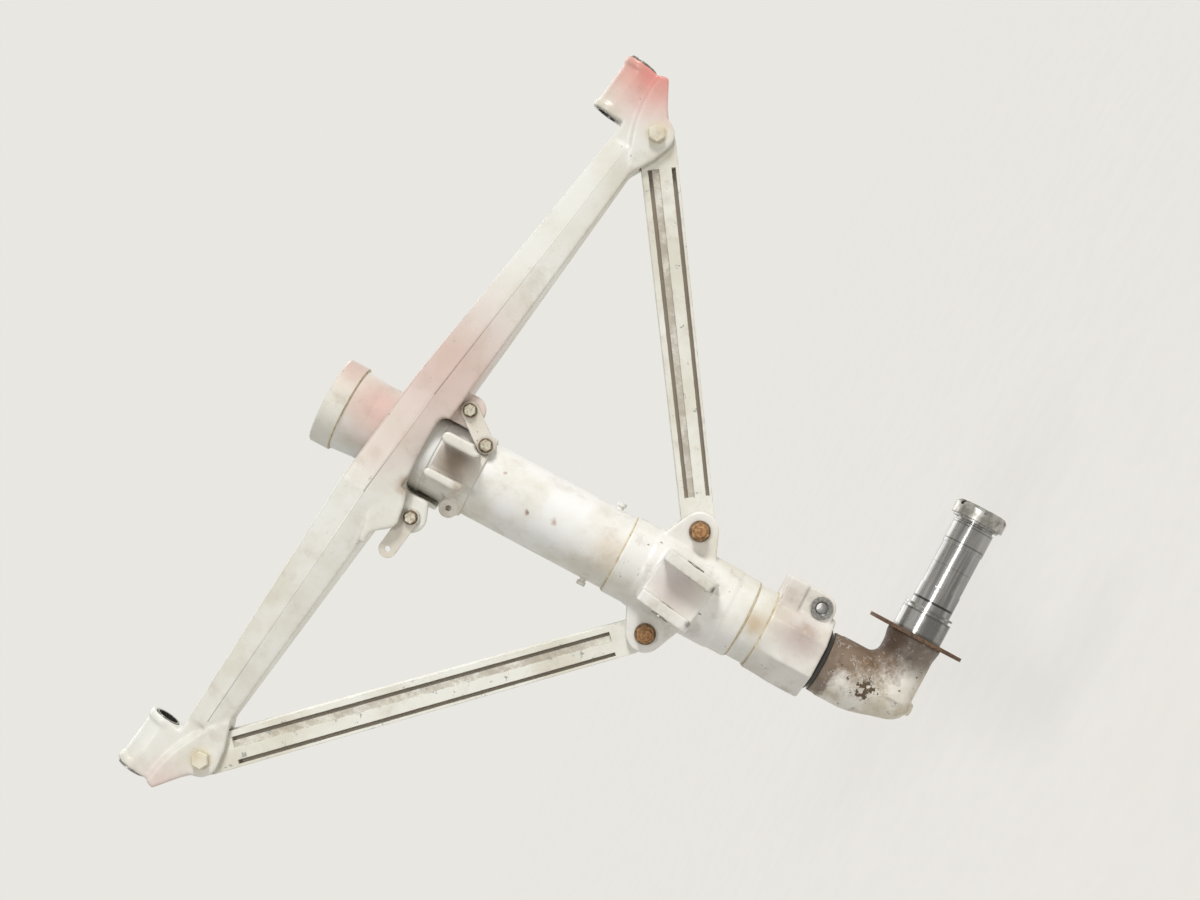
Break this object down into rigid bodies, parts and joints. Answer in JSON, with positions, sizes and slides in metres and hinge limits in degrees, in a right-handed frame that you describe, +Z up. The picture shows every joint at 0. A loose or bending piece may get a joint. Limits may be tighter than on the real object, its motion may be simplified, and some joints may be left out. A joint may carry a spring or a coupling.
{
  "type": "main landing gear leg",
  "caption": "Main landing gear leg: an oleo strut hung from a braced cross arm between two trunnions, with an elbow, brake flange and wheel axle at its foot.",
  "frame": {"origin": "where the trunnion axis crosses the barrel's axis", "axes": "+Z up along the barrel, +X towards the forward trunnion and the wheel axle's end, -Y towards the side that carries the clevises"},
  "size_m": [0.7686, 0.1045, 0.6181],
  "materials": {
    "cream_enamel": "chipped off-white enamel",
    "corroded_enamel": "off-white enamel with brown corroded patches",
    "strap_paint": "thin worn enamel",
    "plated_steel": "satin",
    "cadmium_hardware": "dull cadmium plate",
    "rusty_hardware": "orange rust",
    "piston_chrome": "hard chrome, polished",
    "polished_axle": "ground",
    "dull_nut": "dull grey plate",
    "brown_flange": "brown surface rust",
    "bare_aluminium": "machined",
    "bearing_bronze": "machined bronze",
    "brass_fittings": "dull brass",
    "black_rubber": "matte"
  },
  "bodies": {
    "leg": {"barrel_tube": "cream_enamel", "top_cap": "cream_enamel", "filler_valve": "plated_steel", "valve_cap": "brass_fittings", "orifice_tube": "bare_aluminium", "orifice_plate": "bearing_bronze", "cross_arm": "cream_enamel", "trunnion_bushings": "plated_steel", "forward_brace": "cream_enamel", "aft_brace": "cream_enamel", "brace_bushings": "plated_steel", "brace_collar": "cream_enamel", "side_clevis_bushings": "plated_steel", "uplock_saddle": "cream_enamel", "forward_strap": "strap_paint", "strap_screws": "cadmium_hardware", "strap_washers": "cadmium_hardware", "strap_nuts": "cadmium_hardware", "tip_bolts": "cadmium_hardware", "tip_nuts": "cadmium_hardware", "ear_bolts": "rusty_hardware", "ear_nuts": "rusty_hardware", "brace_washers": "cadmium_hardware", "side_plugs": "cream_enamel", "knee_collar": "cream_enamel", "knee_bushings": "plated_steel", "lower_bearing": "bare_aluminium", "piston_seal": "black_rubber", "static_seal": "black_rubber", "retaining_ring": "plated_steel", "scraper_ring": "black_rubber"},
    "carrier": {"upper_bearing": "bearing_bronze"},
    "piston": {"piston_tube": "piston_chrome", "piston_head_ring": "plated_steel", "piston_plug": "bare_aluminium", "metering_pin": "plated_steel", "axle_elbow": "corroded_enamel", "brake_flange": "brown_flange", "wheel_axle": "polished_axle", "grease_ring": "polished_axle", "axle_washer": "plated_steel", "axle_nut": "dull_nut"},
    "strap": {"aft_strap": "strap_paint"}
  },
  "joints": [
    {"name": "oleo_slide", "type": "slide", "parent": "leg", "child": "carrier", "axis": [0, 0, -1], "range_m": [-0.003, 0.2]},
    {"name": "axle_swivel", "type": "hinge", "parent": "carrier", "child": "piston", "pos_m": [0, 0, 0], "axis": [0, 0, 1], "continuous": true},
    {"name": "strap_swing", "type": "hinge", "parent": "leg", "child": "strap", "pos_m": [-0.0568, -0.0305, -0.0638], "axis": [0, -1, 0], "range_deg": [0, 140]}
  ]
}
